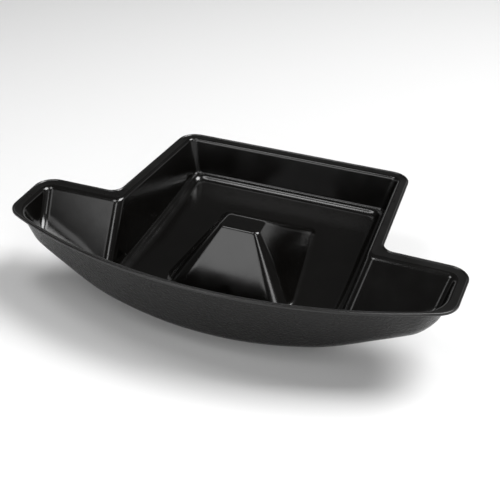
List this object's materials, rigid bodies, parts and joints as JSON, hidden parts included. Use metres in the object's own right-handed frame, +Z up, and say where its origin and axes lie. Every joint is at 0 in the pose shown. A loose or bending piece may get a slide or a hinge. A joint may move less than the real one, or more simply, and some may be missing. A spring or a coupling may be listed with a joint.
{
  "type": "drip pan with drain fitting",
  "caption": "T-shaped black plastic drip pan with two wings, a curved front wall, a flanged rim, a centre pedestal and a drain fitting under its sloping floor.",
  "frame": {"origin": "middle of the bounding box in plan, at the height of the drain tail's lower end", "axes": "+X to the right seen from the curved front, +Y to the back, +Z up, square to the rim"},
  "size_m": [0.4582, 0.2972, 0.0935],
  "materials": {
    "pan_plastic": "gloss inside, fine grain outside",
    "fitting_plastic": "satin",
    "gasket_rubber": "matte",
    "nut_plastic": "matte"
  },
  "bodies": {
    "root": {"pan": "pan_plastic", "drain_body": "fitting_plastic", "drain_gasket": "gasket_rubber", "drain_nut": "nut_plastic"}
  },
  "joints": []
}
